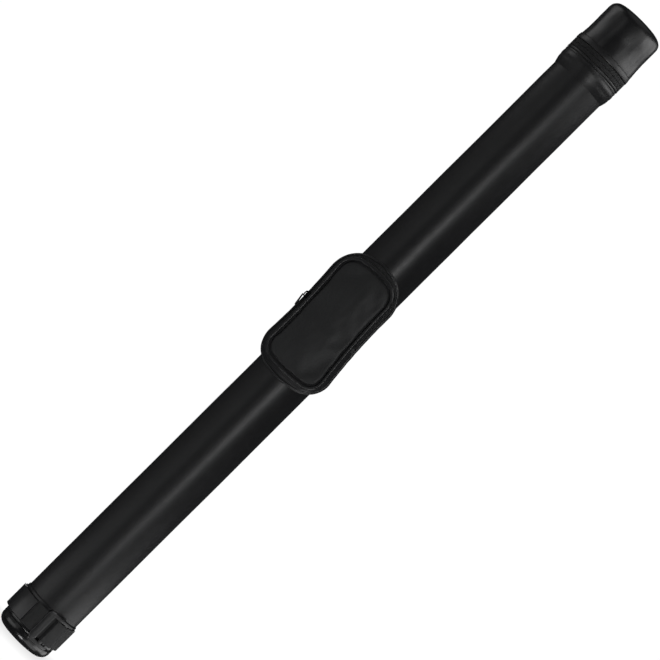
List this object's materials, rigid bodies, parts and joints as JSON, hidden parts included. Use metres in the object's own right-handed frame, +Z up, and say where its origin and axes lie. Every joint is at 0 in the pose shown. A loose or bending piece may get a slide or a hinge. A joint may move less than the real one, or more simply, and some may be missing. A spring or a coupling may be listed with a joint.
{
  "type": "tube case",
  "caption": "Slim hard tube case in black leatherette with a hinged zip cap, a zip pouch on its front and a webbing band with a slide buckle at its base.",
  "frame": {"origin": "centre of the base's flat face, on the tube's axis", "axes": "+Z up the tube towards the zip cap, -Y out through the pouch, +X to the right when the pouch is seen from the front"},
  "size_m": [0.083, 0.0825, 0.826],
  "materials": {
    "tube_leather": "smooth semi-gloss black leatherette with a fine grain",
    "cap_leather": "smooth semi-gloss black leatherette, softly creased",
    "trim_leather": "glossier black leatherette binding",
    "pouch_leather": "soft matte black leatherette over padding",
    "piping": "black leatherette piping with a low sheen",
    "base_gloss": "moulded gloss black",
    "plug_plastic": "matte black",
    "buckle_plastic": "moulded semi-gloss black",
    "webbing": "ribbed black woven webbing",
    "zip_tape": "black woven zip tape",
    "zip_coil": "black nylon coil",
    "zip_metal": "black lacquered metal",
    "core_board": "dark stiff tube wall",
    "lining": "black brushed lining",
    "foam": "black closed-cell foam"
  },
  "bodies": {
    "case": {"core_tube": "core_board", "tube_lining": "lining", "tube_cover": "tube_leather", "back_seam_strip": "trim_leather", "base_cap": "base_gloss", "base_plug": "plug_plastic", "base_pad": "foam", "band_backing": "trim_leather", "strap_band": "webbing", "band_patch": "trim_leather", "slide_buckle": "buckle_plastic", "mouth_collar": "trim_leather", "mouth_binding": "trim_leather", "mouth_zip_tape": "zip_tape", "mouth_zip_coil": "zip_coil", "zip_stop_left": "zip_metal", "zip_stop_right": "zip_metal", "cap_hinge_lower": "trim_leather", "pouch_back_panel": "pouch_leather", "pouch_outer_piping": "piping", "pouch_gusset": "pouch_leather", "pouch_zip_outer_tape": "zip_tape", "pouch_zip_outer_coil": "zip_coil", "pouch_rim_piping_lower": "piping", "pouch_front_lower": "pouch_leather", "pouch_zip_end_tab": "trim_leather"},
    "cap": {"cap_cover": "cap_leather", "cap_shell": "core_board", "cap_pad": "foam", "cap_lining": "lining", "cap_binding": "trim_leather", "cap_zip_tape": "zip_tape", "cap_zip_coil": "zip_coil", "cap_hinge_upper": "trim_leather"},
    "cap_slider": {"cap_zip_slider": "zip_metal"},
    "cap_pull": {"cap_zip_pull": "zip_metal"},
    "pouch_flap": {"pouch_front_flap": "pouch_leather", "pouch_rim_piping_flap": "piping", "pouch_zip_inner_tape": "zip_tape", "pouch_zip_inner_coil": "zip_coil"},
    "pouch_slider": {"pouch_zip_slider": "zip_metal"},
    "pouch_pull": {"pouch_zip_pull": "zip_metal"}
  },
  "joints": [
    {"name": "cap_hinge", "type": "hinge", "parent": "case", "child": "cap", "pos_m": [0, 0.034, 0.7682], "axis": [-1, 0, 0], "range_deg": [0, 135]},
    {"name": "cap_slider_run", "type": "hinge", "parent": "case", "child": "cap_slider", "pos_m": [0, 0, 0.7682], "axis": [0, 0, 1], "range_deg": [0, 270]},
    {"name": "cap_pull_swing", "type": "hinge", "parent": "cap_slider", "child": "cap_pull", "pos_m": [-0.02581, 0.02581, 0.7692], "axis": [0.7071, 0.7071, 0], "range_deg": [0, 120]},
    {"name": "pouch_flap_bend", "type": "hinge", "parent": "case", "child": "pouch_flap", "pos_m": [0.00103, -0.0491, 0.40153], "axis": [0.9209, 0, 0.3899], "range_deg": [0, 75]},
    {"name": "pouch_slider_run", "type": "slide", "parent": "case", "child": "pouch_slider", "axis": [-0.0558, 0, 0.9984], "range_m": [-0.028, 0.022]},
    {"name": "pouch_pull_swing", "type": "hinge", "parent": "pouch_slider", "child": "pouch_pull", "pos_m": [-0.03811, -0.03449, 0.41852], "axis": [0, 1, 0], "range_deg": [0, 100]}
  ]
}
